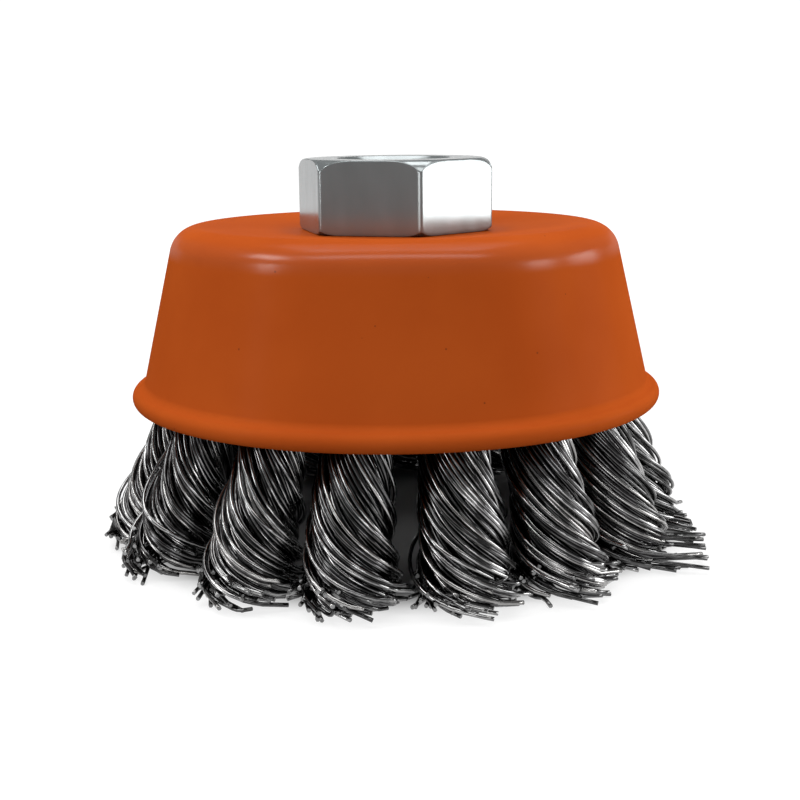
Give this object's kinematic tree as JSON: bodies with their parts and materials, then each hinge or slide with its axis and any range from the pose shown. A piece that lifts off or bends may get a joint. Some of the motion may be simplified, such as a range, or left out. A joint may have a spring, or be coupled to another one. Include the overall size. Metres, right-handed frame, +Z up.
{
  "type": "wire cup brush",
  "caption": "Twist-knot wire cup brush for an angle grinder: painted pressed cup, threaded hexagon arbor nut, and a ring of twisted steel wire knots.",
  "frame": {"origin": "on the surface under the wire tips, on the spindle axis", "axes": "+Z up along the spindle axis, from the wire tips to the arbor nut; -Y is the front"},
  "size_m": [0.0748, 0.0749, 0.0485],
  "materials": {
    "nut_zinc": "turned and zinc plated steel, satin",
    "cup_paint": "satin orange paint on pressed steel",
    "holder_steel": "plain pressed and pierced steel plate",
    "knot_wire": "oiled spring steel wire, dark with bright glints"
  },
  "bodies": {
    "root": {"arbor_nut": "nut_zinc", "cup": "cup_paint", "knot_holder": "holder_steel", "knot_01": "knot_wire", "knot_02": "knot_wire", "knot_03": "knot_wire", "knot_04": "knot_wire", "knot_05": "knot_wire", "knot_06": "knot_wire", "knot_07": "knot_wire", "knot_08": "knot_wire", "knot_09": "knot_wire", "knot_10": "knot_wire", "knot_11": "knot_wire", "knot_12": "knot_wire", "knot_13": "knot_wire", "knot_14": "knot_wire", "knot_15": "knot_wire"}
  },
  "joints": []
}
